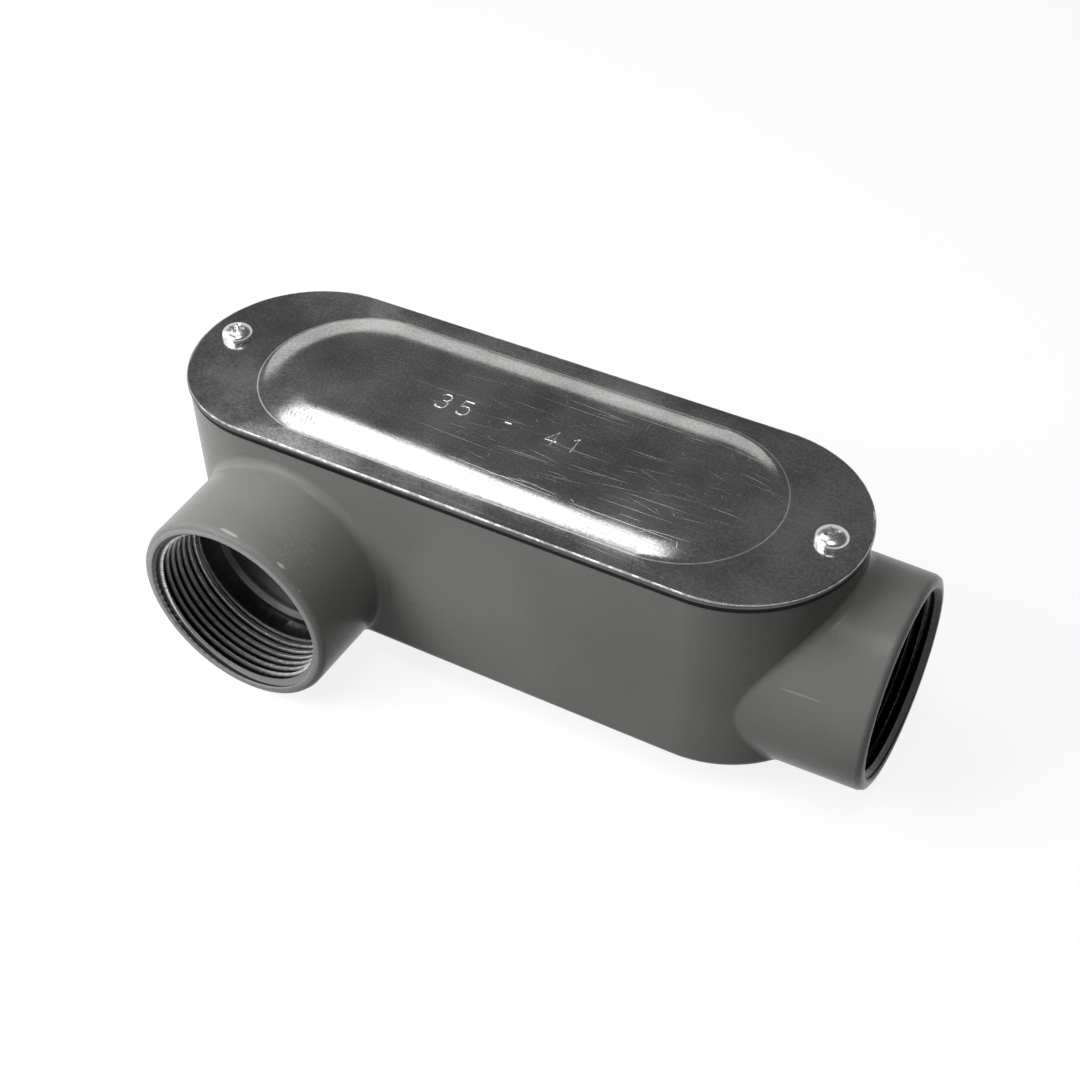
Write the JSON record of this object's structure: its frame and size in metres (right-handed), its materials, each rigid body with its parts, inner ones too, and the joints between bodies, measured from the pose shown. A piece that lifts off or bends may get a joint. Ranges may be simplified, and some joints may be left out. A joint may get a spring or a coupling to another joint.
{
  "type": "conduit body",
  "caption": "Right-angle threaded conduit body: round-ended cast trough with an end hub, a side hub, and a stamped cover screwed on over a gasket.",
  "frame": {"origin": "on the end hub's axis where its thread starts, 2 mm inside the mouth", "axes": "+X out of the end hub along the conduit run, -Y out of the side hub, +Z towards the cover"},
  "size_m": [0.1938, 0.0865, 0.0662],
  "materials": {
    "casting": "satin grey paint on cast aluminium, bare machined threads",
    "gasket": "matt black",
    "cover": "mill finish sheet with handling scratches",
    "screws": "bright zinc plate"
  },
  "bodies": {
    "root": {"housing": "casting", "gasket": "gasket", "cover": "cover", "cover_screws": "screws"}
  },
  "joints": []
}
